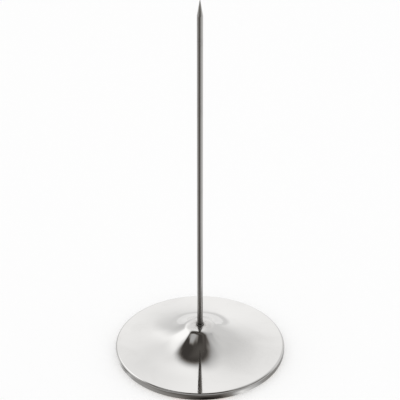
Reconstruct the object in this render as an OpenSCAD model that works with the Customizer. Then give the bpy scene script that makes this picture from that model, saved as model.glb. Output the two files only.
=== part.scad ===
// Bill spike: a slim pointed rod standing on a round pressed-steel dish.
// Paid bills and order slips are pushed down over the point and stack up on the dish.
// The dish is one sheet: a domed crown, a trumpet-shaped flare, a turned-down rim and a narrow foot flange.
// The rod stands on a ring on the crown, and its turned-down, threaded end goes through both.
// A nut with a flat and a spring washer draws it down from inside the hump.
// Millimetres, +Z up. The origin is the centre of the dish, on the table.

/* [Base dish] */
// Outer diameter of the dish
base_d = 90; // [70:1:120]
// Height of the crown above the table
crown_h = 16.6; // [14:0.1:24]
// Height of the rim above the table
rim_h = 4.6; // [3.6:0.1:8]
// Thickness of the sheet
sheet_t = 0.9; // [0.6:0.05:1.2]
// Slope of the dish where it meets the rim, in degrees
rim_slope = 5; // [2:0.5:8]
// Outside radius of the rounded edge at the top of the rim
rim_edge_r = 1.3; // [1.3:0.1:2.4]
// Outside radius of the roll that turns the rim inwards at the table
foot_roll_r = 2; // [1.4:0.1:3]
// Width of the flat flange that the dish stands on
foot_flange_w = 2; // [1:0.25:5]

/* [Crown of the hump] */
// Diameter at which the crown ends and its shoulder begins
crown_d = 14; // [12:0.2:20]
// Radius of the gentle dome between the flat seat and the shoulder
crown_dome_r = 11; // [8:1:40]
// Radius of the shoulder that turns the crown down into the flare
shoulder_r = 7; // [1.8:0.1:9]
// Width of flat seat left around the washer and the foot ring
seat_margin = 0.2; // [0.1:0.1:0.6]

/* [Spike] */
// Height of the point above the table
total_h = 200; // [150:1:260]
// Diameter of the rod
spike_d = 3; // [3:0.1:5]
// Length of the ground point
point_len = 8; // [4:0.5:20]
// Radius left on the very end of the point
point_end_r = 0.15; // [0.05:0.05:0.4]
// Chamfer of the shoulder that stands on the foot ring
shoulder_chamfer = 0.1; // [0.05:0.05:0.2]

/* [Foot ring] */
// How far the ring stands out beyond the rod
ring_overhang = 0.75; // [0.4:0.05:1.2]
// Height of the ring
ring_h = 0.6; // [0.4:0.1:2]
// Rounding of the ring's upper edge
ring_edge_r = 0.25; // [0.1:0.05:0.4]

/* [Fixing inside the hump] */
// Diameter of the thread on the turned-down lower end of the rod
thread_d = 2.5; // [1.8:0.1:2.7]
// Pitch of the thread
thread_pitch = 0.45; // [0.35:0.05:0.6]
// Length of thread that stands out below the nut
thread_end = 1.3; // [0.6:0.1:2]
// Outer diameter of the flat washer
washer_d = 6; // [5.4:0.1:7]
// Thickness of the flat washer
washer_t = 0.5; // [0.3:0.1:1]
// Outer diameter of the spring washer
spring_washer_d = 5.1; // [4.4:0.1:6]
// Thickness of the spring washer, drawn flat by the nut
spring_washer_t = 0.6; // [0.4:0.1:1]
// Width of the split in the spring washer
spring_split_w = 0.4; // [0.2:0.1:0.8]
// Width of the hexagon nut across its flats
nut_af = 5; // [4.5:0.1:6.5]
// Height of the hexagon nut
nut_h = 2; // [1.4:0.1:3]

/* [Fits] */
// Radial clearance of the thread in the dish and in the washers
hole_clearance = 0.1; // [0.05:0.05:0.3]
// Radial clearance of the ring and of the nut on the thread
close_clearance = 0.03; // [0.01:0.01:0.1]

/* [Hidden] */
$fn = 128;

// Steps along each arc and along the flare of the dish's section
arc_steps = 8;
flare_steps = 28;
// Halvings that settle the slope at the neck of the hump
neck_halvings = 40;

// Radii of the dish
base_r = base_d / 2;
hole_r = thread_d / 2 + hole_clearance;
ring_bore_r = thread_d / 2 + close_clearance;
ring_outer_r = spike_d / 2 + ring_overhang;
seat_r = max(washer_d / 2, ring_outer_r) + seat_margin;
crown_r = crown_d / 2;
crown_slope = asin((crown_r - seat_r) / crown_dome_r);
flare_end_r = base_r - rim_edge_r * (1 - sin(rim_slope));
flare_end_z = rim_h - rim_edge_r * (1 - cos(rim_slope));
hump_rise = crown_h - flare_end_z;

// The flare steepens towards the hump by the same ratio over each millimetre.
// Its slope is rim_slope at the rim and neck_slope where the shoulder ends.
function neck_radius(slope) = crown_r + shoulder_r * (sin(slope) - sin(crown_slope));
function flare_length(slope) = (flare_end_r - neck_radius(slope)) / ln(tan(slope) / tan(rim_slope));
function rise_for(slope) =
    crown_dome_r * (1 - cos(crown_slope))
    + shoulder_r * (cos(crown_slope) - cos(slope))
    + flare_length(slope) * (tan(slope) - tan(rim_slope));

// Halves the range of slopes until the hump rises by the height asked for
function neck_slope_for(rise, low, high, halvings) =
    let (middle = (low + high) / 2)
    halvings == 0 ? middle
    : rise_for(middle) > rise ? neck_slope_for(rise, low, middle, halvings - 1)
    : neck_slope_for(rise, middle, high, halvings - 1);

// Range of slopes searched, which starts a little steeper than the crown and the rim
steepest_neck = 80;
neck_margin = 0.5;
gentlest_neck = max(crown_slope, rim_slope) + neck_margin;
neck_slope = neck_slope_for(hump_rise, gentlest_neck, steepest_neck, neck_halvings);
neck_r = neck_radius(neck_slope);
flare_l = flare_length(neck_slope);

// Heights of the rod's shoulder on the ring, and of the stack inside the hump from the crown downwards
rod_foot_z = crown_h + ring_h;
seat_z = crown_h - sheet_t;
spring_washer_z = seat_z - washer_t - spring_washer_t;
nut_z = spring_washer_z - nut_h;
thread_end_z = nut_z - thread_end;

// Grooves of the thread, whose depth is this share of the pitch on a metric screw
thread_depth_share = 0.6134;
thread_depth = thread_depth_share * thread_pitch;
thread_chamfer = thread_depth;
thread_turns = floor((seat_z - thread_end_z - thread_chamfer) / thread_pitch);

// Hexagon of the nut
hex_sides = 6;
nut_chamfer_angle = 30;

// Points of an arc as [radius, height, slope of the face], where slope 0 faces up and 90 faces out.
// An arc that goes on from the end of another starts at its second point.
function arc_face(centre_r, centre_z, radius, from, to, first = 0) = [
    for (i = [first : arc_steps])
        let (slope = from + (to - from) * i / arc_steps)
        [centre_r + radius * sin(slope), centre_z + radius * cos(slope), slope]
];

// Point of the flare at a radius, in the same form
function flare_face(r) =
    let (fall = tan(rim_slope) * exp((flare_end_r - r) / flare_l))
    [r, flare_end_z + flare_l * (fall - tan(rim_slope)), atan(fall)];

// Outer face of the sheet, from the hole over the crown, the flare and the rim to the foot flange
crown_arc_z = crown_h - crown_dome_r;
shoulder_centre_r = crown_r - shoulder_r * sin(crown_slope);
shoulder_centre_z = crown_arc_z + (crown_dome_r - shoulder_r) * cos(crown_slope);
sheet_face = concat(
    [[hole_r, crown_h, 0]],
    arc_face(seat_r, crown_arc_z, crown_dome_r, 0, crown_slope),
    arc_face(shoulder_centre_r, shoulder_centre_z, shoulder_r, crown_slope, neck_slope, first = 1),
    [for (i = [1 : flare_steps - 1]) flare_face(neck_r + (flare_end_r - neck_r) * i / flare_steps)],
    arc_face(base_r - rim_edge_r, rim_h - rim_edge_r, rim_edge_r, rim_slope, 90),
    arc_face(base_r - foot_roll_r, foot_roll_r, foot_roll_r, 90, 180),
    [[base_r - foot_roll_r - foot_flange_w, 0, 180]]
);

// Section of the sheet: its outer face, and the same face moved inwards by the thickness
function outer_point(p) = [p[0], p[1]];
function inner_point(p) = [p[0] - sheet_t * sin(p[2]), p[1] - sheet_t * cos(p[2])];
sheet_section = concat(
    [for (p = sheet_face) outer_point(p)],
    [for (i = [len(sheet_face) - 1 : -1 : 0]) inner_point(sheet_face[i])]
);

// A ring with square edges, standing on z = 0
module plain_ring(outer_r, inner_r, height) {
    difference() {
        cylinder(r = outer_r, h = height);
        translate([0, 0, -height]) cylinder(r = inner_r, h = 3 * height);
    }
}

// Pressed dish of polished sheet
module base_dish() {
    color("gainsboro") rotate_extrude() polygon(sheet_section);
}

// Rod with its ground point above and its thread below
module spike() {
    rod_r = spike_d / 2;
    crest_r = thread_d / 2;
    root_r = crest_r - thread_depth;
    thread_start_z = thread_end_z + thread_chamfer;
    thread_stop_z = thread_start_z + thread_turns * thread_pitch;
    point_z = total_h - point_len;
    grooves = [
        for (turn = [0 : thread_turns - 1])
            each [
                [crest_r, thread_start_z + turn * thread_pitch],
                [root_r, thread_start_z + (turn + 0.5) * thread_pitch]
            ]
    ];
    // The cone runs tangent into the small ball left on the end
    end_slope = 90 - atan((rod_r - point_end_r) / point_len);
    end_ball = [
        for (i = [arc_steps : -1 : 0])
            let (slope = end_slope * i / arc_steps)
            [point_end_r * sin(slope), total_h - point_end_r * (1 - cos(slope))]
    ];
    section = concat(
        [[0, thread_end_z], [root_r, thread_end_z]],
        grooves,
        [[crest_r, thread_stop_z], [crest_r, rod_foot_z]],
        [[rod_r - shoulder_chamfer, rod_foot_z], [rod_r, rod_foot_z + shoulder_chamfer], [rod_r, point_z]],
        end_ball
    );
    color("darkgray") rotate_extrude() polygon(section);
}

// Ring between the rod's shoulder and the crown
module foot_ring() {
    rounded_edge = [
        for (i = [0 : arc_steps])
            let (slope = 90 * i / arc_steps)
            [ring_outer_r - ring_edge_r * (1 - sin(slope)), ring_h - ring_edge_r * (1 - cos(slope))]
    ];
    section = concat([[ring_bore_r, 0], [ring_bore_r, ring_h]], rounded_edge, [[ring_outer_r, 0]]);
    color("silver") translate([0, 0, crown_h]) rotate_extrude() polygon(section);
}

// Washer that spreads the nut's pull over the underside of the crown
module flat_washer() {
    color("lightsteelblue")
        translate([0, 0, seat_z - washer_t])
            plain_ring(washer_d / 2, thread_d / 2 + hole_clearance, washer_t);
}

// Split washer that keeps the nut from working loose
module spring_washer() {
    split_tilt = 25;
    split_h = 4 * spring_washer_t;
    color("slategray")
        translate([0, 0, spring_washer_z])
            difference() {
                plain_ring(spring_washer_d / 2, thread_d / 2 + hole_clearance, spring_washer_t);
                translate([0, 0, spring_washer_t / 2])
                    rotate([split_tilt, 0, 0])
                        translate([0, -spring_split_w / 2, -split_h / 2])
                            cube([spring_washer_d, spring_split_w, split_h]);
            }
}

// Hexagon nut with the corners of both faces turned off
module hex_nut() {
    corner_r = nut_af / 2 / cos(180 / hex_sides);
    corner_drop = (corner_r - nut_af / 2) * tan(nut_chamfer_angle);
    turned = [
        [0, 0],
        [nut_af / 2, 0],
        [corner_r, corner_drop],
        [corner_r, nut_h - corner_drop],
        [nut_af / 2, nut_h],
        [0, nut_h]
    ];
    color("lightgray")
        translate([0, 0, nut_z])
            difference() {
                intersection() {
                    cylinder(r = corner_r, h = nut_h, $fn = hex_sides);
                    rotate_extrude() polygon(turned);
                }
                translate([0, 0, -nut_h]) cylinder(r = thread_d / 2 + close_clearance, h = 3 * nut_h);
            }
}

base_dish();
spike();
foot_ring();
flat_washer();
spring_washer();
hex_nut();
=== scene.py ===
# %% [markdown]
# A bill spike in polished steel
#
# A bill spike is a pointed rod on a heavy-looking little dish. Paid bills are pushed down over the
# point and pile up on the dish. This lesson dresses a finished CAD model of one: the sizes are already
# right, so the work here is smooth mirror surfaces, believable steel, and light that lets steel look
# like steel. We start by loading the CAD frame, whose boxes give the main sizes.

# %% Load the frame
import math

import bpy
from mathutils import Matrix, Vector


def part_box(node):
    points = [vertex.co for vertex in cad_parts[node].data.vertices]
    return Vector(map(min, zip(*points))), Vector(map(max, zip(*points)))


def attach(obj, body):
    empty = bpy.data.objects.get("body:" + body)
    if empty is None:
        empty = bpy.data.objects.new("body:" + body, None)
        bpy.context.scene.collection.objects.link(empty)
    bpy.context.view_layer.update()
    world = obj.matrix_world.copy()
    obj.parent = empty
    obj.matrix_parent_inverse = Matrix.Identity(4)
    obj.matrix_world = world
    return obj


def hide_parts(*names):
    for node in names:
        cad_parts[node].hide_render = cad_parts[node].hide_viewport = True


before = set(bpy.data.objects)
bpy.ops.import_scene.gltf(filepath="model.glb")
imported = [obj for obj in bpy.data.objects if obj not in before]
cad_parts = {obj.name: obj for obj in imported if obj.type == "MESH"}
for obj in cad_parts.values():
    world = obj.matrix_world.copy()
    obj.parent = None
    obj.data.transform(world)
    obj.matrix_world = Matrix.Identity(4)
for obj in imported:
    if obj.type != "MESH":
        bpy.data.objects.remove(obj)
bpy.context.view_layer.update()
print("CAD nodes:", sorted(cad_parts))

# %% [markdown]
# The camera comes first, because every later choice is judged through it. The photograph was taken
# from above and in front with a long lens: the dish is a fairly round ellipse and the rod hardly
# narrows towards the top. A camera that looks 30 degrees down from 76 cm away, with a 127 mm lens on a
# 36 mm sensor, gives both. The image is square, so only the sensor's width matters.

# %% Camera at the photograph's angle
CAMERA_BACK = 0.6143
CAMERA_UP = 0.4471
CAMERA_TILT = 60.0
SENSOR_WIDTH = 36.0
FOCAL_LENGTH = 126.8
NEAREST_SEEN = 0.01

camera_data = bpy.data.cameras.new("photo_camera")
camera_data.sensor_width = SENSOR_WIDTH
camera_data.lens = FOCAL_LENGTH
camera_data.clip_start = NEAREST_SEEN
camera = bpy.data.objects.new("photo_camera", camera_data)
camera.location = (0.0, -CAMERA_BACK, CAMERA_UP)
camera.rotation_euler = (math.radians(CAMERA_TILT), 0.0, 0.0)
bpy.context.scene.collection.objects.link(camera)
bpy.context.scene.camera = camera
bpy.context.scene.view_settings.view_transform = "Standard"
print("camera distance to the dish:", round(camera.location.length, 3), "m")

# %% [markdown]
# Nearly every piece here is round, so one helper does most of the modelling: it takes a section, a
# list of (radius, height) points, and turns it around the Z axis. Blender has a Screw modifier and a
# Spin operator for this. Making the faces directly keeps the rings evenly spaced and lets a later
# step bend the surface a little as it goes round. A section that closes on itself gives a ring; one
# that starts and ends on the axis gives a solid.

# %% Helper: turn a section around the axis
MM = 0.001
ON_AXIS = 1e-6


def arc(centre_r, centre_z, radius, start, stop, steps):
    """Points of an arc as (radius, height, slope); slope 0 faces up, 90 faces outwards."""
    points = []
    for i in range(steps + 1):
        slope = math.radians(start + (stop - start) * i / steps)
        points.append((centre_r + radius * math.sin(slope), centre_z + radius * math.cos(slope), slope))
    return points


def mesh_object(name, verts, faces, sharp_angle=30.0):
    """A new object with smooth faces, and sharp edges where faces meet at more than sharp_angle."""
    mesh = bpy.data.meshes.new(name)
    mesh.from_pydata([Vector(v) * MM for v in verts], [], faces)
    mesh.validate()
    mesh.shade_smooth()
    mesh.set_sharp_from_angle(angle=math.radians(sharp_angle))
    piece = bpy.data.objects.new(name, mesh)
    bpy.context.scene.collection.objects.link(piece)
    return piece


def turned(name, section, segments=128, closed=False, shape=None, sharp_angle=30.0):
    """Turns (radius, height) points round Z. shape(r, z, angle) may move each point to a new (r, z)."""
    verts, faces, rings = [], [], []
    for r, z in section:
        if r < ON_AXIS:
            rings.append([len(verts)])
            verts.append((0.0, 0.0, z))
            continue
        rings.append(list(range(len(verts), len(verts) + segments)))
        for step in range(segments):
            angle = 2 * math.pi * step / segments
            at_r, at_z = shape(r, z, angle) if shape else (r, z)
            verts.append((at_r * math.cos(angle), at_r * math.sin(angle), at_z))
    pairs = list(zip(rings, rings[1:]))
    if closed:
        pairs.append((rings[-1], rings[0]))
    for low, high in pairs:
        for step in range(segments):
            after = (step + 1) % segments
            way_up = (low[step % len(low)], high[step % len(high)])
            way_down = (high[after % len(high)], low[after % len(low)])
            faces.append(list(dict.fromkeys(way_up + way_down)))
    return mesh_object(name, verts, faces, sharp_angle)


print("helpers ready: arc, mesh_object, turned")

# %% [markdown]
# The dish is one pressed sheet. Its section is a small flat seat in the middle, a dome that rolls over a
# round shoulder, a long flare that eases out to the edge, a rounded rim and a roll that turns in under it.
# The flare is the important part: a mirror shows every change of slope, so it can't be a few straight
# steps. Its slope fades by the same ratio over each millimetre, which is what a trumpet's bell does.
# The overall sizes are read from the CAD frame; the inner ones repeat the CAD's own values.

# %% Sizes of the dish, in millimetres
_, dish_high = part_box("base_dish")
BASE_R = dish_high.x / MM
CROWN_H = dish_high.z / MM
RIM_H = 4.6
SHEET_T = 0.9
RIM_SLOPE = 5.0
RIM_EDGE_R = 1.3
FOOT_ROLL_R = 2.0
FOOT_FLANGE_W = 2.0
CROWN_R = 7.0
CROWN_DOME_R = 11.0
SHOULDER_R = 7.0
SEAT_R = 3.2
HOLE_R = 1.35

edge_slope = math.radians(RIM_SLOPE)
crown_slope = math.asin((CROWN_R - SEAT_R) / CROWN_DOME_R)
flare_end_r = BASE_R - RIM_EDGE_R * (1 - math.sin(edge_slope))
flare_end_z = RIM_H - RIM_EDGE_R * (1 - math.cos(edge_slope))
print("dish:", round(2 * BASE_R, 2), "mm across, crown", round(CROWN_H, 2), "mm high")

# %% [markdown]
# The slope where the shoulder passes into the flare isn't a size that can be read anywhere: it has to bring
# the hump to exactly the CAD's height. The formula for the height can't be turned round to give the slope,
# so a range of slopes is halved again and again, and the half that holds the right height is kept.

# %% Slope at the neck
STEEPEST_NECK = 80.0
SLOPE_MARGIN = 0.01
HALVINGS = 40


def neck_radius(slope):
    """Radius at which the shoulder has turned down to a slope."""
    return CROWN_R + SHOULDER_R * (math.sin(slope) - math.sin(crown_slope))


def flare_length(slope):
    """Millimetres over which the flare's slope fades by a factor of e, from the neck to the rim."""
    return (flare_end_r - neck_radius(slope)) / math.log(math.tan(slope) / math.tan(edge_slope))


def hump_rise(slope):
    """Height of the crown above the rim when the neck has this slope."""
    dome = CROWN_DOME_R * (1 - math.cos(crown_slope))
    shoulder = SHOULDER_R * (math.cos(crown_slope) - math.cos(slope))
    return dome + shoulder + flare_length(slope) * (math.tan(slope) - math.tan(edge_slope))


gentle, steep = crown_slope + SLOPE_MARGIN, math.radians(STEEPEST_NECK)
for _ in range(HALVINGS):
    neck_slope = (gentle + steep) / 2
    if hump_rise(neck_slope) > CROWN_H - flare_end_z:
        steep = neck_slope
    else:
        gentle = neck_slope
neck_r = neck_radius(neck_slope)
flare_l = flare_length(neck_slope)
print("slope at the neck:", round(math.degrees(neck_slope), 2), "degrees at radius", round(neck_r, 2), "mm")

# %% [markdown]
# The section is a walk along the outer face, from the hole in the seat to the flange under the rim, and
# each point keeps its slope. The inner face is the same walk back, one sheet's thickness in, square to
# the slope.

# %% Section of the sheet
ARC_STEPS = 14
FLARE_STEPS = 96


def flare_point(r):
    """Point of the flare at a radius, with its slope."""
    fall = math.tan(edge_slope) * math.exp((flare_end_r - r) / flare_l)
    return (r, flare_end_z + flare_l * (fall - math.tan(edge_slope)), math.atan(fall))


dome_z = CROWN_H - CROWN_DOME_R
shoulder_at_r = CROWN_R - SHOULDER_R * math.sin(crown_slope)
shoulder_at_z = dome_z + (CROWN_DOME_R - SHOULDER_R) * math.cos(crown_slope)
crown_deg, neck_deg = math.degrees(crown_slope), math.degrees(neck_slope)
outer_face = [(HOLE_R, CROWN_H, 0.0)]
outer_face += arc(SEAT_R, dome_z, CROWN_DOME_R, 0.0, crown_deg, ARC_STEPS)
outer_face += arc(shoulder_at_r, shoulder_at_z, SHOULDER_R, crown_deg, neck_deg, ARC_STEPS)[1:]
for step in range(1, FLARE_STEPS):
    outer_face.append(flare_point(neck_r + (flare_end_r - neck_r) * step / FLARE_STEPS))
outer_face += arc(BASE_R - RIM_EDGE_R, RIM_H - RIM_EDGE_R, RIM_EDGE_R, RIM_SLOPE, 90.0, ARC_STEPS)
outer_face += arc(BASE_R - FOOT_ROLL_R, FOOT_ROLL_R, FOOT_ROLL_R, 90.0, 180.0, ARC_STEPS)
outer_face.append((BASE_R - FOOT_ROLL_R - FOOT_FLANGE_W, 0.0, math.pi))
inner_face = []
for r, z, slope in reversed(outer_face):
    inner_face.append((r - SHEET_T * math.sin(slope), z - SHEET_T * math.cos(slope)))
sheet_section = [point[:2] for point in outer_face] + inner_face
print("section of the sheet:", len(sheet_section), "points")

# %% [markdown]
# Pressed and polished sheet is never a perfect mirror. The hump was drawn up out of a flat blank, and
# the metal around it keeps faint ripples, a few hundredths of a millimetre deep, with finer puckers close
# to the hump at the front right. The right of the crown has also sunk by a third of a millimetre, which
# dulls its reflection. Nobody sees any of this as shape, but reflections bend where they cross it. It is
# real geometry here: sine waves round the axis and a one-sided dip, all of them gone before the rim.

# %% Dish
DISH_SEGMENTS = 192
RIPPLE_DEPTH = 0.03
RIPPLE_PEAK_R = 20.0
RIPPLE_SPREAD = 8.0
RIPPLE_WAVES = ((3, 0.4, 1.0), (5, 2.1, 0.7), (8, 4.0, 0.45), (13, 1.2, 0.2))
PUCKER_DEPTH = 0.016
PUCKER_PEAK_R = 12.5
PUCKER_SPREAD = 3.5
PUCKER_COUNT = 27
PUCKER_SIDE = math.radians(-40)
PUCKER_DRIFT = 2.0
PUCKER_DRIFT_COUNT = 3
SAG_DEPTH = 0.3
SAG_START_R = 3.2
SAG_PEAK_R = 6.5
SAG_SPREAD = 8.0


def ripple(r, z, angle):
    """Lowers or lifts the sheet a little, as the press left it."""
    reach = math.exp(-(((r - RIPPLE_PEAK_R) / RIPPLE_SPREAD) ** 2))
    wave = sum(size * math.sin(count * angle + start) for count, start, size in RIPPLE_WAVES)
    near = math.exp(-(((r - PUCKER_PEAK_R) / PUCKER_SPREAD) ** 2))
    side = 0.5 + 0.5 * math.cos(angle - PUCKER_SIDE)
    drift = PUCKER_DRIFT * math.sin(PUCKER_DRIFT_COUNT * angle)
    pucker = side * math.sin(PUCKER_COUNT * angle + drift)
    start = min(1.0, max(0.0, (r - SAG_START_R) / (SAG_PEAK_R - SAG_START_R)))
    fade = math.exp(-((max(0.0, r - SAG_PEAK_R) / SAG_SPREAD) ** 2))
    sag = start * start * (3 - 2 * start) * fade * max(0.0, math.cos(angle)) ** 2
    return r, z + RIPPLE_DEPTH * reach * wave + PUCKER_DEPTH * near * pucker - SAG_DEPTH * sag


dish = turned("pressed_dish", sheet_section, DISH_SEGMENTS, closed=True, shape=ripple)
print("pressed_dish:", len(dish.data.polygons), "faces, crown at", round(CROWN_H, 2), "mm")

# %% [markdown]
# The spike is a drawn rod with a ground point on top and a turned-down, threaded end below. The cone
# meets the rod in a crisp edge, and a tiny ball is left on the tip so that it isn't a needle. The
# thread could be a bump in the material, but the nut's side is seen from below, so it is real: the
# radius follows a triangle wave that climbs one pitch per turn and dies out at both ends.

# %% Spike
spike_low, spike_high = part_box("spike")
ROD_R = spike_high.x / MM
POINT_TOP = spike_high.z / MM
THREAD_BOTTOM = spike_low.z / MM
POINT_LEN = 8.0
POINT_END_R = 0.15
SHOULDER_CHAMFER = 0.1
THREAD_R = 1.25
THREAD_PITCH = 0.45
THREAD_DEPTH = 0.27
THREAD_FADE = 0.5
ROD_SEGMENTS = 64
STEPS_PER_PITCH = 10
POINT_STEPS = 8

_, ring_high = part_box("foot_ring")
seat_z = CROWN_H - SHEET_T
rod_foot = ring_high.z / MM
point_foot = POINT_TOP - POINT_LEN
cone_lean = math.degrees(math.atan((ROD_R - POINT_END_R) / POINT_LEN))
thread_rings = round((seat_z - THREAD_BOTTOM) / THREAD_PITCH * STEPS_PER_PITCH)
spike_section = [(0.0, THREAD_BOTTOM)]
for step in range(thread_rings + 1):
    spike_section.append((THREAD_R, THREAD_BOTTOM + (seat_z - THREAD_BOTTOM) * step / thread_rings))
spike_section += [(THREAD_R, rod_foot), (ROD_R - SHOULDER_CHAMFER, rod_foot)]
spike_section += [(ROD_R, rod_foot + SHOULDER_CHAMFER), (ROD_R, point_foot)]
tip = arc(0.0, POINT_TOP - POINT_END_R, POINT_END_R, 90.0 - cone_lean, 0.0, POINT_STEPS)
spike_section += [point[:2] for point in tip]


def cut_thread(r, z, angle):
    """Cuts a climbing V groove into the turned-down end and leaves the rest of the rod alone."""
    if z > seat_z or r > THREAD_R:
        return r, z
    phase = (z / THREAD_PITCH - angle / (2 * math.pi)) % 1.0
    groove = 1 - abs(2 * phase - 1)
    fade_out = min(1.0, (seat_z - z) / THREAD_FADE)
    lead_in = max(0.0, 1 - (z - THREAD_BOTTOM) / THREAD_FADE)
    return r - THREAD_DEPTH * max(groove * fade_out, lead_in), z


spike = turned("ground_spike", spike_section, ROD_SEGMENTS, shape=cut_thread, sharp_angle=8.0)
print("ground_spike:", len(spike.data.polygons), "faces, point at", round(POINT_TOP, 2), "mm")

# %% [markdown]
# A small ring sits between the rod's shoulder and the crown. In the photograph it is only a thin dark
# arc, but it is what makes the rod look seated and not just stuck on. Its upper edge is rounded and its
# lower edge has a hair of a chamfer, so both catch light.

# %% Foot ring
RING_R = ring_high.x / MM
RING_BORE_R = 1.28
RING_EDGE_R = 0.25
RING_CHAMFER = 0.06
RING_EDGE_STEPS = 8

ring_section = [(RING_BORE_R, CROWN_H), (RING_BORE_R, rod_foot)]
rounding = arc(RING_R - RING_EDGE_R, rod_foot - RING_EDGE_R, RING_EDGE_R, 0.0, 90.0, RING_EDGE_STEPS)
ring_section += [point[:2] for point in rounding]
ring_section += [(RING_R, CROWN_H + RING_CHAMFER), (RING_R - RING_CHAMFER, CROWN_H)]
foot_ring = turned("seating_ring", ring_section, ROD_SEGMENTS, closed=True)
print("seating_ring: radius", round(RING_R, 2), "mm")

# %% [markdown]
# Inside the hump a flat washer, a split spring washer and a hexagon nut hold the rod. They only show
# from below, but they are standard parts that everyone knows, so they get their true forms. The flat
# washer is stamped, which leaves one edge sharp and rounds the other.

# %% Flat washer
washer_low, washer_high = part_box("flat_washer")
WASHER_R = washer_high.x / MM
WASHER_BORE_R = 1.35
WASHER_EDGE_R = 0.15
WASHER_EDGE_STEPS = 5

washer_bottom, washer_top = washer_low.z / MM, washer_high.z / MM
washer_section = [(WASHER_BORE_R, washer_bottom), (WASHER_BORE_R, washer_top), (WASHER_R, washer_top)]
rounding = arc(WASHER_R - WASHER_EDGE_R, washer_bottom + WASHER_EDGE_R, WASHER_EDGE_R, 90.0, 180.0,
               WASHER_EDGE_STEPS)
washer_section += [point[:2] for point in rounding]
flat_washer = turned("plain_washer", washer_section, ROD_SEGMENTS, closed=True)
print("plain_washer: radius", round(WASHER_R, 2), "mm")

# %% [markdown]
# The spring washer is a ring cut by a slanted slot, so it can't be turned: the section is carried round
# from one side of the slot to the other, and both ends are closed with a face.

# %% Spring washer
split_low, split_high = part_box("spring_washer")
SPLIT_R = split_high.y / MM
SPLIT_BORE_R = 1.35
SPLIT_WIDTH = 0.4
SPLIT_TILT = 25.0
SPLIT_EDGE = 0.08
SPLIT_STEPS = 56

split_bottom, split_top = split_low.z / MM, split_high.z / MM
split_middle = (split_bottom + split_top) / 2
split_section = [
    (SPLIT_BORE_R, split_bottom + SPLIT_EDGE), (SPLIT_BORE_R, split_top - SPLIT_EDGE),
    (SPLIT_BORE_R + SPLIT_EDGE, split_top), (SPLIT_R - SPLIT_EDGE, split_top),
    (SPLIT_R, split_top - SPLIT_EDGE), (SPLIT_R, split_bottom + SPLIT_EDGE),
    (SPLIT_R - SPLIT_EDGE, split_bottom), (SPLIT_BORE_R + SPLIT_EDGE, split_bottom),
]
split_verts, split_faces = [], []
corners = len(split_section)
for step in range(SPLIT_STEPS + 1):
    for r, z in split_section:
        slant = -(z - split_middle) * math.tan(math.radians(SPLIT_TILT))
        start = math.asin((slant + SPLIT_WIDTH / 2) / r)
        stop = 2 * math.pi + math.asin((slant - SPLIT_WIDTH / 2) / r)
        angle = start + (stop - start) * step / SPLIT_STEPS
        split_verts.append((r * math.cos(angle), r * math.sin(angle), z))
for step in range(SPLIT_STEPS):
    here, ahead = step * corners, (step + 1) * corners
    for corner in range(corners):
        after = (corner + 1) % corners
        split_faces.append((here + corner, here + after, ahead + after, ahead + corner))
split_faces.append(tuple(range(corners - 1, -1, -1)))
split_faces.append(tuple(SPLIT_STEPS * corners + corner for corner in range(corners)))
spring_washer = mesh_object("split_washer", split_verts, split_faces)
print("split_washer: radius", round(SPLIT_R, 2), "mm, split", SPLIT_WIDTH, "mm")

# %% [markdown]
# The nut is a hexagon, so it can't be turned either. It is made of rows of points that go round, each row
# with the same count. Later the tent and the table cloth are too, so a helper joins such rows with faces.


# %% Helper: faces between rows that go round
def ring_faces(rows, around, closed=False):
    """Faces between neighbouring rows of points; closed also joins the last row to the first."""
    faces = []
    for row in range(rows if closed else rows - 1):
        low, high = row * around, (row + 1) % rows * around
        for step in range(around):
            after = (step + 1) % around
            faces.append((low + step, high + step, high + after, low + after))
    return faces


print("helper ready: ring_faces")

# %% [markdown]
# On the nut, the corners are turned off by a cone, and a cone cuts a curve into each of the six flats. The
# rows marked None follow the hexagon, and the further they are from the middle of a flat, the more the
# cone takes off them.

# %% Hexagon nut
nut_low, nut_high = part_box("hex_nut")
NUT_FLAT_R = 2.5
NUT_BORE_R = 1.28
NUT_SINK = 0.25
NUT_CHAMFER = 30.0
FLATS = 6
STEPS_PER_FLAT = 20

nut_bottom, nut_top = nut_low.z / MM, nut_high.z / MM
nut_rows = [
    (NUT_BORE_R, nut_bottom + NUT_SINK), (NUT_BORE_R, nut_top - NUT_SINK),
    (NUT_BORE_R + NUT_SINK, nut_top), (NUT_FLAT_R, nut_top),
    (None, nut_top), (None, nut_bottom),
    (NUT_FLAT_R, nut_bottom), (NUT_BORE_R + NUT_SINK, nut_bottom),
]
nut_verts = []
nut_around = FLATS * STEPS_PER_FLAT
flat_turn = 2 * math.pi / FLATS
for row_r, row_z in nut_rows:
    for step in range(nut_around):
        angle = 2 * math.pi * step / nut_around
        off_flat = angle % flat_turn - flat_turn / 2
        r, z = row_r, row_z
        if row_r is None:
            r = NUT_FLAT_R / math.cos(off_flat)
            drop = (r - NUT_FLAT_R) * math.tan(math.radians(NUT_CHAMFER))
            z = row_z - drop if row_z == nut_top else row_z + drop
        nut_verts.append((r * math.cos(angle), r * math.sin(angle), z))
nut_faces = ring_faces(len(nut_rows), nut_around, closed=True)
hex_nut = mesh_object("hexagon_nut", nut_verts, nut_faces, sharp_angle=15.0)
print("hexagon_nut:", len(nut_faces), "faces, height", round(nut_top - nut_bottom, 2), "mm")
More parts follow.
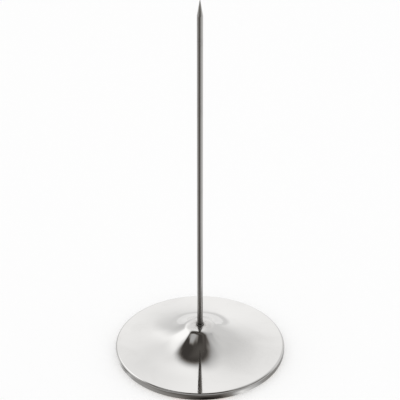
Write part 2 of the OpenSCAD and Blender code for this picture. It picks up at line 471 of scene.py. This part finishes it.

# %% [markdown]
# Each dressed piece now takes the place of its CAD node. Riding on the one body, root, ties it to the
# frame; replacing hides the CAD node. The table also names a finish slot for each, which nothing here uses.

# %% Tie the pieces to the frame
DRESSED = (
    (dish, "base_dish", "dish_steel"),
    (spike, "spike", "spike_steel"),
    (foot_ring, "foot_ring", "ring_dark"),
    (flat_washer, "flat_washer", "fixing_zinc"),
    (spring_washer, "spring_washer", "spring_dark"),
    (hex_nut, "hex_nut", "fixing_zinc"),
)
for piece, node, slot in DRESSED:
    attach(piece, "root")
    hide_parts(node)
print("tied", len(DRESSED), "pieces to the root body")

# %% [markdown]
# Steel gets its look from very small things: which way the polishing or drawing lines run, and where
# hands and paper have dulled it. Several finishes need the same few effects, so they are shader node
# groups, built once. The first gives coordinates for turned pieces: distance from the axis, angle
# round it and height, in millimetres, worked out from the object's own coordinates.


# %% Node group: coordinates round the axis
def new_group(name, inputs, outputs):
    """An empty shader node group with named value sockets, and its input and output nodes."""
    group = bpy.data.node_groups.new(name, "ShaderNodeTree")
    for label, value in inputs:
        socket = group.interface.new_socket(label, in_out="INPUT", socket_type="NodeSocketFloat")
        socket.default_value = value
    for label in outputs:
        group.interface.new_socket(label, in_out="OUTPUT", socket_type="NodeSocketFloat")
    return group, group.nodes.new("NodeGroupInput"), group.nodes.new("NodeGroupOutput")


def socket_names(group):
    """Names of a group's inputs and outputs."""
    return [socket.name for socket in group.interface.items_tree]


def add_math(tree, operation, first, second=None, clamp=False):
    """A Math node whose inputs are sockets or numbers; returns its output socket."""
    node = tree.nodes.new("ShaderNodeMath")
    node.operation = operation
    node.use_clamp = clamp
    for socket, value in zip(node.inputs, (first, second)):
        if value is None:
            continue
        if isinstance(value, bpy.types.NodeSocket):
            tree.links.new(value, socket)
        else:
            socket.default_value = value
    return node.outputs[0]


around_axis, _, result = new_group("around_axis", [], ["Radius", "Angle", "Height"])
coords = around_axis.nodes.new("ShaderNodeTexCoord")
parts = around_axis.nodes.new("ShaderNodeSeparateXYZ")
around_axis.links.new(coords.outputs["Object"], parts.inputs[0])
x_mm = add_math(around_axis, "DIVIDE", parts.outputs["X"], MM)
y_mm = add_math(around_axis, "DIVIDE", parts.outputs["Y"], MM)
squares = add_math(around_axis, "ADD", add_math(around_axis, "MULTIPLY", x_mm, x_mm),
                   add_math(around_axis, "MULTIPLY", y_mm, y_mm))
around_axis.links.new(add_math(around_axis, "SQRT", squares), result.inputs["Radius"])
around_axis.links.new(add_math(around_axis, "ARCTAN2", y_mm, x_mm), result.inputs["Angle"])
around_axis.links.new(add_math(around_axis, "DIVIDE", parts.outputs["Z"], MM), result.inputs["Height"])
print("group around_axis:", socket_names(around_axis))

# %% [markdown]
# The second group draws fine lines: noise that changes quickly in one direction and slowly in the
# other. On the dish the quick direction is outwards, which gives the rings that a polishing wheel
# leaves; on the rod it is round the axis, which gives the long lines of the drawing die.

# %% Node group: fine lines
LINE_DETAIL = 3.0
LINE_ROUGHNESS = 0.7
FAINTEST_LINE = 0.35
STRONGEST_LINE = 0.65

fine_lines, given, result = new_group(
    "fine_lines",
    [("Across", 0.0), ("Along", 0.0), ("Per Unit Across", 8.0), ("Per Unit Along", 0.5)],
    ["Lines"])
combine = fine_lines.nodes.new("ShaderNodeCombineXYZ")
for axis, label in (("X", "Across"), ("Y", "Along")):
    stretched = add_math(fine_lines, "MULTIPLY", given.outputs[label], given.outputs["Per Unit " + label])
    fine_lines.links.new(stretched, combine.inputs[axis])
line_noise = fine_lines.nodes.new("ShaderNodeTexNoise")
line_noise.inputs["Scale"].default_value = 1.0
line_noise.inputs["Detail"].default_value = LINE_DETAIL
line_noise.inputs["Roughness"].default_value = LINE_ROUGHNESS
fine_lines.links.new(combine.outputs[0], line_noise.inputs["Vector"])
line_range = fine_lines.nodes.new("ShaderNodeMapRange")
line_range.inputs["From Min"].default_value = FAINTEST_LINE
line_range.inputs["From Max"].default_value = STRONGEST_LINE
fine_lines.links.new(line_noise.outputs["Fac"], line_range.inputs["Value"])
fine_lines.links.new(line_range.outputs["Result"], result.inputs["Lines"])
print("group fine_lines:", socket_names(fine_lines))

# %% [markdown]
# The third group is handling: soft patches where fingers and paper have dulled the metal. They never change
# the shape, only how sharp and how bright the reflection is. Their size is set for each finish, and a finer
# breakup inside them keeps them from looking airbrushed.

# %% Node group: handling haze
PATCH_DETAIL = 4.0
PATCH_DISTORTION = 0.6
BREAKUP_DETAIL = 2.0
PATCH_EDGE = 0.45
PATCH_CORE = 0.75
LEAST_HAZE = 0.35

handling_haze, given, result = new_group(
    "handling_haze", [("Patches Per Metre", 60.0), ("Breakup Per Metre", 900.0)], ["Haze"])
coords = handling_haze.nodes.new("ShaderNodeTexCoord")
patches = handling_haze.nodes.new("ShaderNodeTexNoise")
patches.inputs["Detail"].default_value = PATCH_DETAIL
patches.inputs["Distortion"].default_value = PATCH_DISTORTION
breakup = handling_haze.nodes.new("ShaderNodeTexNoise")
breakup.inputs["Detail"].default_value = BREAKUP_DETAIL
for noise, label in ((patches, "Patches Per Metre"), (breakup, "Breakup Per Metre")):
    handling_haze.links.new(coords.outputs["Object"], noise.inputs["Vector"])
    handling_haze.links.new(given.outputs[label], noise.inputs["Scale"])
patch_range = handling_haze.nodes.new("ShaderNodeMapRange")
patch_range.interpolation_type = "SMOOTHSTEP"
patch_range.inputs["From Min"].default_value = PATCH_EDGE
patch_range.inputs["From Max"].default_value = PATCH_CORE
handling_haze.links.new(patches.outputs["Fac"], patch_range.inputs["Value"])
broken = add_math(handling_haze, "MULTIPLY", patch_range.outputs["Result"],
                  add_math(handling_haze, "ADD", breakup.outputs["Fac"], LEAST_HAZE), clamp=True)
handling_haze.links.new(broken, result.inputs["Haze"])
print("group handling_haze:", socket_names(handling_haze))

# %% [markdown]
# Every finish below is a metal, so they share a start: a Principled shader with Metallic at 1, a
# colour that swings between a clean and a hazed tint, a roughness that rises with lines and haze, and a
# bump from the lines that is a few microns deep at most. A helper wires that up; each finish then says
# which way its lines run and how strong each effect is.

# %% Helper: a lined metal
MICRON = 1e-6


def place(tree, group):
    """Puts a node group into a material."""
    node = tree.nodes.new("ShaderNodeGroup")
    node.node_tree = group
    return node


def lined_metal(name, clean, hazed, rough, line_rough, haze_rough, bump_um):
    """A metal material with its lines and haze wired in. Returns it and the nodes that a finish sets."""
    material = bpy.data.materials.new(name)
    material.use_nodes = True
    tree = material.node_tree
    shader = tree.nodes["Principled BSDF"]
    shader.inputs["Metallic"].default_value = 1.0
    turned_at = place(tree, around_axis)
    lines = place(tree, fine_lines)
    haze = place(tree, handling_haze)
    tint = tree.nodes.new("ShaderNodeMix")
    tint.data_type = "RGBA"
    tint.inputs["A"].default_value = (*clean, 1.0)
    tint.inputs["B"].default_value = (*hazed, 1.0)
    tree.links.new(haze.outputs["Haze"], tint.inputs["Factor"])
    tree.links.new(tint.outputs["Result"], shader.inputs["Base Color"])
    from_lines = add_math(tree, "MULTIPLY", lines.outputs["Lines"], line_rough)
    from_haze = add_math(tree, "MULTIPLY", haze.outputs["Haze"], haze_rough)
    dulled = add_math(tree, "ADD", add_math(tree, "ADD", from_lines, from_haze), rough)
    tree.links.new(dulled, shader.inputs["Roughness"])
    bump = tree.nodes.new("ShaderNodeBump")
    bump.inputs["Strength"].default_value = 1.0
    bump.inputs["Distance"].default_value = bump_um * MICRON
    tree.links.new(lines.outputs["Lines"], bump.inputs["Height"])
    tree.links.new(bump.outputs["Normal"], shader.inputs["Normal"])
    return material, lines, turned_at, haze


print("helper ready: lined_metal")

# %% [markdown]
# Where the rod meets the dish there is a corner that shade falls into. The steel there is painted darker,
# which is painted shade, and it is duller, with more roughness. Rod and dish share that effect, so it is a
# node group too. It turns a distance into a mask that fades in between two marks, and lets a texture
# break it up so that it has no clean edge.

# %% Node group: painted shade and dulling in the corner
corner_shade_and_dulling, given, result = new_group(
    "corner_shade_and_dulling",
    [("Distance", 0.0), ("Starts At", 30.0), ("Full At", 20.0), ("Breakup", 0.0), ("Breakup Share", 0.3)],
    ["Film"])
# This mask paints shade into the colour and adds roughness, strongest close to the corner.
corner_mask_range = corner_shade_and_dulling.nodes.new("ShaderNodeMapRange")
corner_mask_range.interpolation_type = "SMOOTHSTEP"
for label, socket in (("Distance", "Value"), ("Starts At", "From Min"), ("Full At", "From Max")):
    corner_shade_and_dulling.links.new(given.outputs[label], corner_mask_range.inputs[socket])
broken = add_math(corner_shade_and_dulling, "MULTIPLY", given.outputs["Breakup"], given.outputs["Breakup Share"])
whole = add_math(corner_shade_and_dulling, "SUBTRACT", 1.0, given.outputs["Breakup Share"])
corner_mask_here = add_math(corner_shade_and_dulling, "MULTIPLY", corner_mask_range.outputs["Result"],
                     add_math(corner_shade_and_dulling, "ADD", broken, whole))
corner_shade_and_dulling.links.new(corner_mask_here, result.inputs["Film"])
print("group corner_shade_and_dulling:", socket_names(corner_shade_and_dulling))

# %% [markdown]
# A helper lays that painted shade and dulling over a finish. What fed the colour before goes through a Mix
# node with the shade's tint, and the dulling is added to whatever roughness was there.


# %% Helper: lay the painted shade and dulling over a finish
def lay_shade_and_dulling(material, distance, breakup, starts_at, full_at, breakup_share, tint, dulling):
    """Lays painted shade over a metal's colour, and dulls its reflection with more roughness."""
    tree = material.node_tree
    shader = tree.nodes["Principled BSDF"]
    corner_mask = place(tree, corner_shade_and_dulling)
    tree.links.new(distance, corner_mask.inputs["Distance"])
    tree.links.new(breakup, corner_mask.inputs["Breakup"])
    corner_mask.inputs["Starts At"].default_value = starts_at
    corner_mask.inputs["Full At"].default_value = full_at
    corner_mask.inputs["Breakup Share"].default_value = breakup_share
    # Painted shade: the colour is mixed towards the dark tint where the mask is high.
    shaded_colour = tree.nodes.new("ShaderNodeMix")
    shaded_colour.data_type = "RGBA"
    shaded_colour.inputs["B"].default_value = (*tint, 1.0)
    tree.links.new(corner_mask.outputs["Film"], shaded_colour.inputs["Factor"])
    tree.links.new(shader.inputs["Base Color"].links[0].from_socket, shaded_colour.inputs["A"])
    tree.links.new(shaded_colour.outputs["Result"], shader.inputs["Base Color"])
    extra = add_math(tree, "MULTIPLY", corner_mask.outputs["Film"], dulling)
    duller = add_math(tree, "ADD", shader.inputs["Roughness"].links[0].from_socket, extra)
    tree.links.new(duller, shader.inputs["Roughness"])


print("helper ready: lay_shade_and_dulling")

# %% [markdown]
# The dish is buffed to a mirror. The wheel's lines run round the axis and are so fine that they only
# soften the reflection a little. Close to the ring, painted shade darkens the steel in patches and dulls
# it.

# %% Finish: polished sheet
polished_sheet, lines, at, _ = lined_metal(
    "polished_sheet", clean=(0.815, 0.806, 0.792), hazed=(0.77, 0.76, 0.745),
    rough=0.02, line_rough=0.02, haze_rough=0.05, bump_um=0.15)
polished_sheet.node_tree.links.new(at.outputs["Radius"], lines.inputs["Across"])
polished_sheet.node_tree.links.new(at.outputs["Angle"], lines.inputs["Along"])
lines.inputs["Per Unit Across"].default_value = 6.0
lines.inputs["Per Unit Along"].default_value = 2.0
corner_patches = place(polished_sheet.node_tree, handling_haze)
corner_patches.inputs["Patches Per Metre"].default_value = 600.0
corner_patches.inputs["Breakup Per Metre"].default_value = 3000.0
# Painted shade: the colour darkens in patches within 8 mm of the axis, for the ring's dark reflection and
# the shade round its foot; the same patches add roughness.
lay_shade_and_dulling(polished_sheet, at.outputs["Radius"], corner_patches.outputs["Haze"],
         starts_at=8.0, full_at=2.0, breakup_share=0.4, tint=(0.52, 0.50, 0.485), dulling=0.45)
dish.data.materials.append(polished_sheet)
print("polished_sheet on", dish.name)

# %% [markdown]
# The rod is bright drawn wire: the lines run up and down it, so they are tied to the angle round the
# axis. Painted shade darkens and dulls its foot, and the drawing lines break it up.

# %% Finish: drawn rod
drawn_rod, lines, at, _ = lined_metal(
    "drawn_rod", clean=(0.68, 0.67, 0.652), hazed=(0.6, 0.59, 0.575),
    rough=0.13, line_rough=0.10, haze_rough=0.10, bump_um=1.0)
drawn_rod.node_tree.links.new(at.outputs["Angle"], lines.inputs["Across"])
drawn_rod.node_tree.links.new(at.outputs["Height"], lines.inputs["Along"])
lines.inputs["Per Unit Across"].default_value = 9.0
lines.inputs["Per Unit Along"].default_value = 0.06
# Painted shade: the rod grows darker towards its foot, from 32 mm down to 18 mm, where it stands in the
# corner by the dish.
lay_shade_and_dulling(drawn_rod, at.outputs["Height"], lines.outputs["Lines"],
         starts_at=32.0, full_at=18.0, breakup_share=0.3, tint=(0.22, 0.21, 0.20), dulling=0.2)
spike.data.materials.append(drawn_rod)
print("drawn_rod on", spike.name)

# %% [markdown]
# The ring is the darkest piece: its dark colour is painted shade, for the shadowed gap between the rod
# and the crown. It was turned, so its lines run round it, and it has a finish of its own.

# %% Finish: darkened ring
# Painted shade: the ring's dark base colour stands in for the shadowed gap under the rod's shoulder.
shade_darkened_ring, lines, at, haze = lined_metal(
    "shade_darkened_ring", clean=(0.27, 0.262, 0.252), hazed=(0.19, 0.183, 0.175),
    rough=0.20, line_rough=0.10, haze_rough=0.12, bump_um=1.0)
shade_darkened_ring.node_tree.links.new(at.outputs["Height"], lines.inputs["Across"])
shade_darkened_ring.node_tree.links.new(at.outputs["Angle"], lines.inputs["Along"])
lines.inputs["Per Unit Across"].default_value = 12.0
haze.inputs["Patches Per Metre"].default_value = 500.0
foot_ring.data.materials.append(shade_darkened_ring)
print("shade_darkened_ring on", foot_ring.name)

# %% [markdown]
# The nut and the flat washer are zinc plated, which is bluer and duller than polished steel. The spring
# washer is hardened and left dark. These pieces are small, so their patches of haze are small too.

# %% Finish: zinc plate and spring steel
zinc_plate, lines, at, haze = lined_metal(
    "zinc_plate", clean=(0.66, 0.68, 0.70), hazed=(0.56, 0.58, 0.60),
    rough=0.24, line_rough=0.10, haze_rough=0.2, bump_um=2.0)
zinc_plate.node_tree.links.new(at.outputs["Radius"], lines.inputs["Across"])
zinc_plate.node_tree.links.new(at.outputs["Height"], lines.inputs["Along"])
haze.inputs["Patches Per Metre"].default_value = 400.0
haze.inputs["Breakup Per Metre"].default_value = 3000.0
for piece in (flat_washer, hex_nut):
    piece.data.materials.append(zinc_plate)

spring_steel, lines, at, haze = lined_metal(
    "spring_steel", clean=(0.30, 0.30, 0.31), hazed=(0.22, 0.21, 0.205),
    rough=0.28, line_rough=0.12, haze_rough=0.2, bump_um=2.5)
spring_steel.node_tree.links.new(at.outputs["Radius"], lines.inputs["Across"])
spring_steel.node_tree.links.new(at.outputs["Angle"], lines.inputs["Along"])
haze.inputs["Patches Per Metre"].default_value = 500.0
spring_washer.data.materials.append(spring_steel)
print("zinc_plate and spring_steel on the fixing")

# %% [markdown]
# The floor is a plain pale sheet. It is large, so that the other views don't run off it, and it carries
# the faintest unevenness, as painted board does.

# %% Floor
FLOOR_HALF = 3.0
PAINT_ROUGHNESS = 0.9
PAINT_SHINE = 0.1
PAINT_PER_METRE = 3.0
PAINT_LOW = (0.985, 0.985, 0.985)
PAINT_HIGH = (0.995, 0.995, 0.995)

floor_mesh = bpy.data.meshes.new("studio_floor")
floor_mesh.from_pydata([(-FLOOR_HALF, -FLOOR_HALF, 0), (FLOOR_HALF, -FLOOR_HALF, 0),
                        (FLOOR_HALF, FLOOR_HALF, 0), (-FLOOR_HALF, FLOOR_HALF, 0)], [], [(0, 1, 2, 3)])
floor = bpy.data.objects.new("studio_floor", floor_mesh)
bpy.context.scene.collection.objects.link(floor)

floor_paint = bpy.data.materials.new("floor_paint")
floor_paint.use_nodes = True
tree = floor_paint.node_tree
paint = tree.nodes["Principled BSDF"]
paint.inputs["Roughness"].default_value = PAINT_ROUGHNESS
paint.inputs["Specular IOR Level"].default_value = PAINT_SHINE
mottle = tree.nodes.new("ShaderNodeTexNoise")
mottle.inputs["Scale"].default_value = PAINT_PER_METRE
shade = tree.nodes.new("ShaderNodeMix")
shade.data_type = "RGBA"
shade.inputs["A"].default_value = (*PAINT_LOW, 1.0)
shade.inputs["B"].default_value = (*PAINT_HIGH, 1.0)
tree.links.new(mottle.outputs["Fac"], shade.inputs["Factor"])
tree.links.new(shade.outputs["Result"], paint.inputs["Base Color"])
floor_mesh.materials.append(floor_paint)
print("floor", 2 * FLOOR_HALF, "m wide")

# %% [markdown]
# Polished steel has hardly any look of its own: it shows the room around it. The photograph looks as if it
# was taken in a pale tent, open overhead and towards the camera, and that opening is the dark cone on the
# hump. So the light is in two parts. The world is an even pale light, which the floor shows as it is.
# Round the object stand a tent and a table cloth that only reflections can see. The world comes first.

# %% Studio light: an even pale world
WORLD_LEVEL = 1.0

world = bpy.data.worlds.new("pale_room")
world.use_nodes = True
background = world.node_tree.nodes["Background"]
background.inputs["Color"].default_value = (1.0, 1.0, 1.0, 1.0)
background.inputs["Strength"].default_value = WORLD_LEVEL
bpy.context.scene.world = world
print("world level:", WORLD_LEVEL)

# %% [markdown]
# Tent and table cloth share one material, which shines with a level that is painted on the mesh. Dark
# cloth is a little warm in the photograph, so a colour ramp tints low levels and leaves pale ones white.
# The Light Path node says how the light came here, and two of its counts are used. Light that has met the
# floor gets the plain world level, so that the dark cloth can't darken the floor through the rim. Light
# that was mirrored twice, from the rod to the dish and then out, gets a second painted level, so that the
# tones of the mirrored rod can be set without touching those of the dish.

# %% Material: cloth that shines with painted levels
DARK_CLOTH = (1.0, 0.90, 0.80)
PALE_FROM = 0.4

cloth = bpy.data.materials.new("studio_cloth")
cloth.use_nodes = True
cloth.cycles.emission_sampling = "NONE"
tree = cloth.node_tree
tree.nodes.remove(tree.nodes["Principled BSDF"])
shine = tree.nodes.new("ShaderNodeEmission")
first_level = tree.nodes.new("ShaderNodeAttribute")
first_level.attribute_name = "first_level"
second_level = tree.nodes.new("ShaderNodeAttribute")
second_level.attribute_name = "second_level"
path_info = tree.nodes.new("ShaderNodeLightPath")
mirrored_twice = add_math(tree, "SUBTRACT", path_info.outputs["Glossy Depth"], 1.0, clamp=True)
painted_level = tree.nodes.new("ShaderNodeMix")
tree.links.new(mirrored_twice, painted_level.inputs["Factor"])
tree.links.new(first_level.outputs["Fac"], painted_level.inputs["A"])
tree.links.new(second_level.outputs["Fac"], painted_level.inputs["B"])
after_floor = add_math(tree, "MINIMUM", path_info.outputs["Diffuse Depth"], 1.0)
seen_level = tree.nodes.new("ShaderNodeMix")
seen_level.inputs["B"].default_value = WORLD_LEVEL
tree.links.new(after_floor, seen_level.inputs["Factor"])
tree.links.new(painted_level.outputs["Result"], seen_level.inputs["A"])
tree.links.new(seen_level.outputs["Result"], shine.inputs["Strength"])
cloth_tint = tree.nodes.new("ShaderNodeValToRGB")
cloth_tint.color_ramp.elements[0].color = (*DARK_CLOTH, 1.0)
cloth_tint.color_ramp.elements[1].color = (1.0, 1.0, 1.0, 1.0)
cloth_tint.color_ramp.elements[1].position = PALE_FROM
tree.links.new(painted_level.outputs["Result"], cloth_tint.inputs["Fac"])
tree.links.new(cloth_tint.outputs["Color"], shine.inputs["Color"])
tree.links.new(shine.outputs[0], tree.nodes["Material Output"].inputs["Surface"])
print("studio_cloth:", len(tree.nodes), "nodes")

# %% [markdown]
# A helper makes a sheet of that cloth. The levels are stored on its points, under the two names that the
# material reads, and the sheet is hidden from everything but reflections.


# %% Helper: cloth that only shows in reflections
def studio_cloth(name, verts, faces, first_levels, second_levels):
    """A sheet that shines with its painted levels, seen by reflections and by nothing else."""
    mesh = bpy.data.meshes.new(name)
    mesh.from_pydata(verts, [], faces)
    mesh.attributes.new("first_level", "FLOAT", "POINT").data.foreach_set("value", first_levels)
    mesh.attributes.new("second_level", "FLOAT", "POINT").data.foreach_set("value", second_levels)
    mesh.materials.append(cloth)
    sheet = bpy.data.objects.new(name, mesh)
    bpy.context.scene.collection.objects.link(sheet)
    sheet.visible_camera = False
    sheet.visible_diffuse = False
    sheet.visible_transmission = False
    sheet.visible_shadow = False
    return sheet


print("helper ready: studio_cloth")

# %% [markdown]
# The tent is a dome with soft-edged panels, hung where a photographer would hang them. Each is drawn on a
# map of the sky above the dish, in degrees to the right and to the back from straight overhead, so that
# a panel can be moved until its reflection has the right outline. Pale panels stand behind, with a
# dimmer seam where they meet the table, and on the left. The sides and the front are grey, and the front
# is darkest at the horizon, where the rim and the point of the rod look. Then comes the opening itself,
# and last a grey card in it with a crisp upper edge, which is the light spot on the cone. The second
# panels only change what is mirrored twice: most of them darken the front and flanks of the mirrored rod.

# %% Panels of the tent
PANELS = (
    # name, level, softness in degrees, outline as (right, back) in degrees from overhead
    ("back wall", 1.04, 30, (
        (-26, 50), (-24, 62), (-14, 70), (-4, 86), (-2, 120), (26, 120), (25, 72), (21, 56), (12, 34),
        (8, 12), (-14, 10))),
    ("low back", 0.82, 22, ((-12, 90), (28, 90), (28, 120), (-12, 120))),
    ("back seam", 0.74, 4, (
        (-70, 51), (-45, 75), (0, 87), (45, 75), (70, 51), (76, 58), (50, 86), (0, 100), (-50, 86),
        (-76, 58))),
    ("left corner", 0.63, 14, (
        (-44, 60), (-36, 70), (-30, 84), (-26, 120), (-120, 120), (-120, 50), (-56, 50))),
    ("right roof", 0.46, 40, ((6, 12), (90, 12), (90, -36), (6, -36))),
    ("left light", 1.07, 14, (
        (-16, 66), (-28, 64), (-41, 52), (-54, 40), (-58, 20), (-40, 10), (-20, 23), (-29, 42))),
    ("left lamp", 1.20, 10, (
        (-38, 46), (-48, 42), (-58, 26), (-64, 10), (-52, 0), (-40, 2), (-34, 12), (-34, 30))),
    ("crown patch", 0.88, 18, ((-27, 38), (-25, 50), (-8, 52), (-6, 36))),
    ("right side", 0.24, 20, ((44, 10), (58, 14), (80, 12), (76, -30), (44, -42))),
    ("left side", 0.24, 14, ((-46, -6), (-58, 0), (-72, 4), (-72, -28), (-44, -42))),
    ("front", 0.08, 14, ((26, -14), (40, -16), (50, -28), (36, -46), (-36, -46), (-48, -30), (-40, -18))),
    ("low front", 0.40, 16, ((-60, -34), (60, -34), (72, -50), (60, -90), (-60, -90), (-72, -50))),
    ("horizon", 0.34, 8, (
        (-80, -14), (-67, -38), (-49, -58), (-26, -71), (0, -76), (26, -71), (49, -58), (67, -38),
        (90, -50), (64, -77), (0, -100), (-64, -77), (-100, -18))),
    ("dark horizon", 0.10, 10, (
        (-43, -60), (-26, -70), (0, -74), (26, -70), (43, -60), (56, -80), (0, -102), (-56, -80))),
    ("right of the opening", 0.33, 18, (
        (4, 22), (12, 17), (17, 11), (21, 5), (25, -1), (29, -9), (34, -20), (34, -40), (0, -40), (0, 10))),
    ("opening", 0.05, 9, (
        (-39, 4), (-34, 10), (-29, 15), (-25, 19), (-20, 23), (-14, 24), (-8, 23), (-2, 22), (3, 19),
        (8, 14), (12, 9), (14, 4), (18, -1), (22, -7), (28, -15), (28, -36), (-42, -36),
        (-45, -20), (-42, -6))),
    ("ceiling", 0.09, 12, (
        (-8, 14), (0, 13), (6, 8), (10, 3), (15, -4), (20, -14), (22, -36), (10, -36), (9, -14), (4, -6),
        (-8, -1))),
    ("grey card", 0.45, 13, (
        (-35, -2), (-31, 2), (-25, 4), (-19, 2), (-15, -3), (-11, -9), (-9, -17), (-14, -24), (-34, -20))),
    ("edge of the card", 0.05, 5, (
        (-35, 2), (-28, 2), (-20, 2), (-14, 1), (-10, 6), (-16, 10), (-26, 10), (-33, 6))),
)
SECOND_PANELS = (
    ("dark front", 0.13, 14, ((-52, -34), (36, -34), (56, -48), (60, -100), (-60, -100), (-60, -44))),
    ("right streak", 0.85, 10, ((47, -33), (69, -48), (83, -15), (57, -10))),
    ("card taken down", 0.06, 8, ((-42, -28), (-4, -28), (-4, 8), (-42, 8))),
    ("pale back", 1.0, 20, ((-50, 56), (40, 60), (50, 104), (-60, 104))),
    ("right corner", 0.22, 12, ((56, 15), (87, 23), (58, 69), (37, 44))),
    ("left flank", 0.06, 8, ((-34, -6), (-32, 12), (-20, 28), (-29, 41), (-47, 17), (-49, -9))),
    ("right flank", 0.22, 8, ((34, -6), (32, 12), (20, 28), (29, 41), (47, 17), (49, -9))),
)
print("panels:", len(PANELS), "and", len(SECOND_PANELS), "for what is mirrored twice")

# %% [markdown]
# To find the level of a place on the map, the panels are laid over it one by one. Each counts fully well
# inside its outline and not at all well outside, and it fades across its edge over its own softness.


# %% Helper: hang the panels
def cover(right, back, outline, soft):
    """How much of a panel covers a place on the sky map: 1 inside, 0 outside, soft across the edge."""
    inside = False
    nearest = math.inf
    for (ax, ay), (bx, by) in zip(outline, outline[1:] + outline[:1]):
        if (ay > back) != (by > back) and right < ax + (back - ay) / (by - ay) * (bx - ax):
            inside = not inside
        along = ((right - ax) * (bx - ax) + (back - ay) * (by - ay)) / ((bx - ax) ** 2 + (by - ay) ** 2)
        along = min(1.0, max(0.0, along))
        nearest = min(nearest, math.hypot(right - ax - along * (bx - ax), back - ay - along * (by - ay)))
    depth = nearest if inside else -nearest
    share = min(1.0, max(0.0, 0.5 + depth / soft))
    return share * share * (3 - 2 * share)


def hang(level, right, back, panels):
    """Level of a place on the sky map after panels are hung over it, one on top of the other."""
    for _, panel_level, soft, outline in panels:
        level += (panel_level - level) * cover(right, back, outline, soft)
    return level


print("helpers ready: cover, hang")

# %% [markdown]
# The dome is made of rings from overhead down to just below the horizon. The step between them is small
# enough to carry the crispest edge, because the levels are painted on the points and blend in between.

# %% Tent
TENT_R = 1.6
TENT_RINGS = 46
TENT_RING_STEP = 2.0
TENT_AROUND = 120
TENT_LEVEL = 0.72

tent_verts, tent_levels, second_levels = [], [], []
for ring in range(TENT_RINGS + 1):
    away = ring * TENT_RING_STEP
    for step in range(TENT_AROUND):
        turn = 2 * math.pi * step / TENT_AROUND
        right, back = away * math.sin(turn), away * math.cos(turn)
        tent_levels.append(hang(TENT_LEVEL, right, back, PANELS))
        second_levels.append(hang(tent_levels[-1], right, back, SECOND_PANELS))
        flat, high = TENT_R * math.sin(math.radians(away)), TENT_R * math.cos(math.radians(away))
        tent_verts.append((flat * math.sin(turn), flat * math.cos(turn), high))
tent_faces = ring_faces(TENT_RINGS + 1, TENT_AROUND)
studio_cloth("tent", tent_verts, tent_faces, tent_levels, second_levels)
print("tent: levels", round(min(tent_levels), 2), "to", round(max(tent_levels), 2))

# %% [markdown]
# The rod and the rim stand upright, so they mirror the table and not the tent. In the photograph both
# have a dark middle, greyer flanks and a bright streak on the right. A cloth on the table does that: it
# is a flat ring whose tone changes with the direction, counted in degrees from the front to the right.
# Close to the dish it has the tones for the foot of the rim and for its upper half. Further out it has
# those for the lower shank, for the rod and for its top.

# %% Tones of the table cloth
FOOT_TONES = ((-180, 0.85), (-75, 0.85), (-68, 0.45), (-63, 0.32), (-59, 0.55), (-53, 0.36), (-40, 0.34),
              (-27, 0.28), (-15, 0.20), (-6, 0.07), (3, 0.01), (14, 0.05), (22, 0.25), (30, 0.90),
              (38, 0.60), (48, 0.33), (59, 0.26), (79, 0.36), (100, 0.60), (130, 0.80), (180, 0.85))
NEAR_TONES = ((-180, 0.68), (-80, 0.66), (-74, 0.08), (-66, 0.08), (-61, 0.34), (-50, 0.34), (-40, 0.30),
              (-27, 0.20), (-6, 0.10), (14, 0.10), (22, 0.25), (30, 0.50), (48, 0.36), (59, 0.22),
              (79, 0.32), (100, 0.50), (130, 0.66), (180, 0.68))
SHANK_TONES = ((-180, 0.92), (-150, 0.84), (-110, 0.50), (-74, 0.33), (-35, 0.14), (-12, 0.08), (10, 0.10),
               (28, 0.20), (48, 0.62), (70, 0.74), (95, 0.60), (125, 0.46), (150, 0.80), (180, 0.92))
ROD_TONES = ((-180, 0.92), (-150, 0.78), (-110, 0.50), (-74, 0.33), (-35, 0.14), (-12, 0.08), (4, 0.10),
             (14, 0.22), (30, 0.50), (60, 0.55), (90, 0.65), (120, 0.75), (150, 0.88), (180, 0.92))
TOP_TONES = ((-180, 0.82), (-150, 0.70), (-100, 0.40), (-60, 0.24), (-20, 0.10), (4, 0.10), (16, 0.22),
             (32, 0.42), (60, 0.52), (90, 0.64), (120, 0.75), (150, 0.88), (180, 0.82))
CLOTH_RINGS = (
    # radius in metres, and the tones that the cloth has there
    (0.0435, FOOT_TONES), (0.048, FOOT_TONES), (0.0495, NEAR_TONES), (0.058, NEAR_TONES),
    (0.062, SHANK_TONES), (0.085, SHANK_TONES), (0.11, ROD_TONES), (0.4, ROD_TONES),
    (0.5, TOP_TONES), (1.5, TOP_TONES),
)
print("table cloth:", len(CLOTH_RINGS), "rings of tones")

# %% [markdown]
# The cloth lies a hair above the floor, so that a reflection meets it first. Between two stops of a ring,
# and between two rings, the tone runs evenly from one to the other.

# %% Table cloth
CLOTH_LIFT = 0.00002
CLOTH_AROUND = 180


def tone_at(azimuth, tones):
    """Tone between the two nearest stops."""
    for (low, low_tone), (high, high_tone) in zip(tones, tones[1:]):
        if low <= azimuth <= high:
            return low_tone + (high_tone - low_tone) * (azimuth - low) / (high - low)


cloth_verts, cloth_levels = [], []
for radius, tones in CLOTH_RINGS:
    for step in range(CLOTH_AROUND):
        azimuth = -180 + 360 * step / CLOTH_AROUND
        turn = math.radians(azimuth)
        cloth_verts.append((radius * math.sin(turn), -radius * math.cos(turn), CLOTH_LIFT))
        cloth_levels.append(tone_at(azimuth, tones))
cloth_faces = ring_faces(len(CLOTH_RINGS), CLOTH_AROUND)
studio_cloth("table_cloth", cloth_verts, cloth_faces, cloth_levels, cloth_levels)
print("table cloth: tones", round(min(cloth_levels), 2), "to", round(max(cloth_levels), 2))
